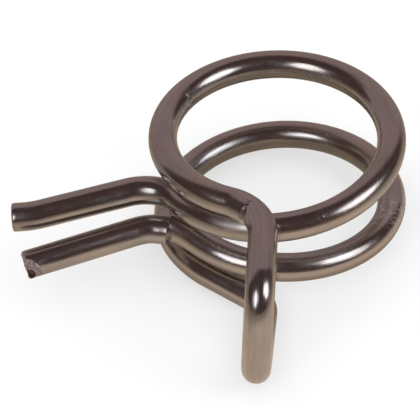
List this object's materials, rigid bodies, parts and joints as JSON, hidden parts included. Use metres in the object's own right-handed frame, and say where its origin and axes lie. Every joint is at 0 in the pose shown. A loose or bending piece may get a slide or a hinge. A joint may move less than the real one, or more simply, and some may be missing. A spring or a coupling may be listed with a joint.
{
  "type": "spring hose clamp",
  "caption": "Spring clamp bent from round wire: paired coils form a ring for tubing, joined by a hairpin grip, with straight tails that are pinched to open it.",
  "frame": {"origin": "middle of the ring, on the plane half way between the two tails", "axes": "+Z along the axis of the ring, -Y towards the hairpin grip, -X on the side of the tails"},
  "size_m": [0.0272, 0.0269, 0.0099],
  "materials": {
    "steel_wire": "bright drawn spring wire with a thin plating, fine lines along the wire and small scuffs"
  },
  "bodies": {
    "root": {"wire": "steel_wire"}
  },
  "joints": []
}
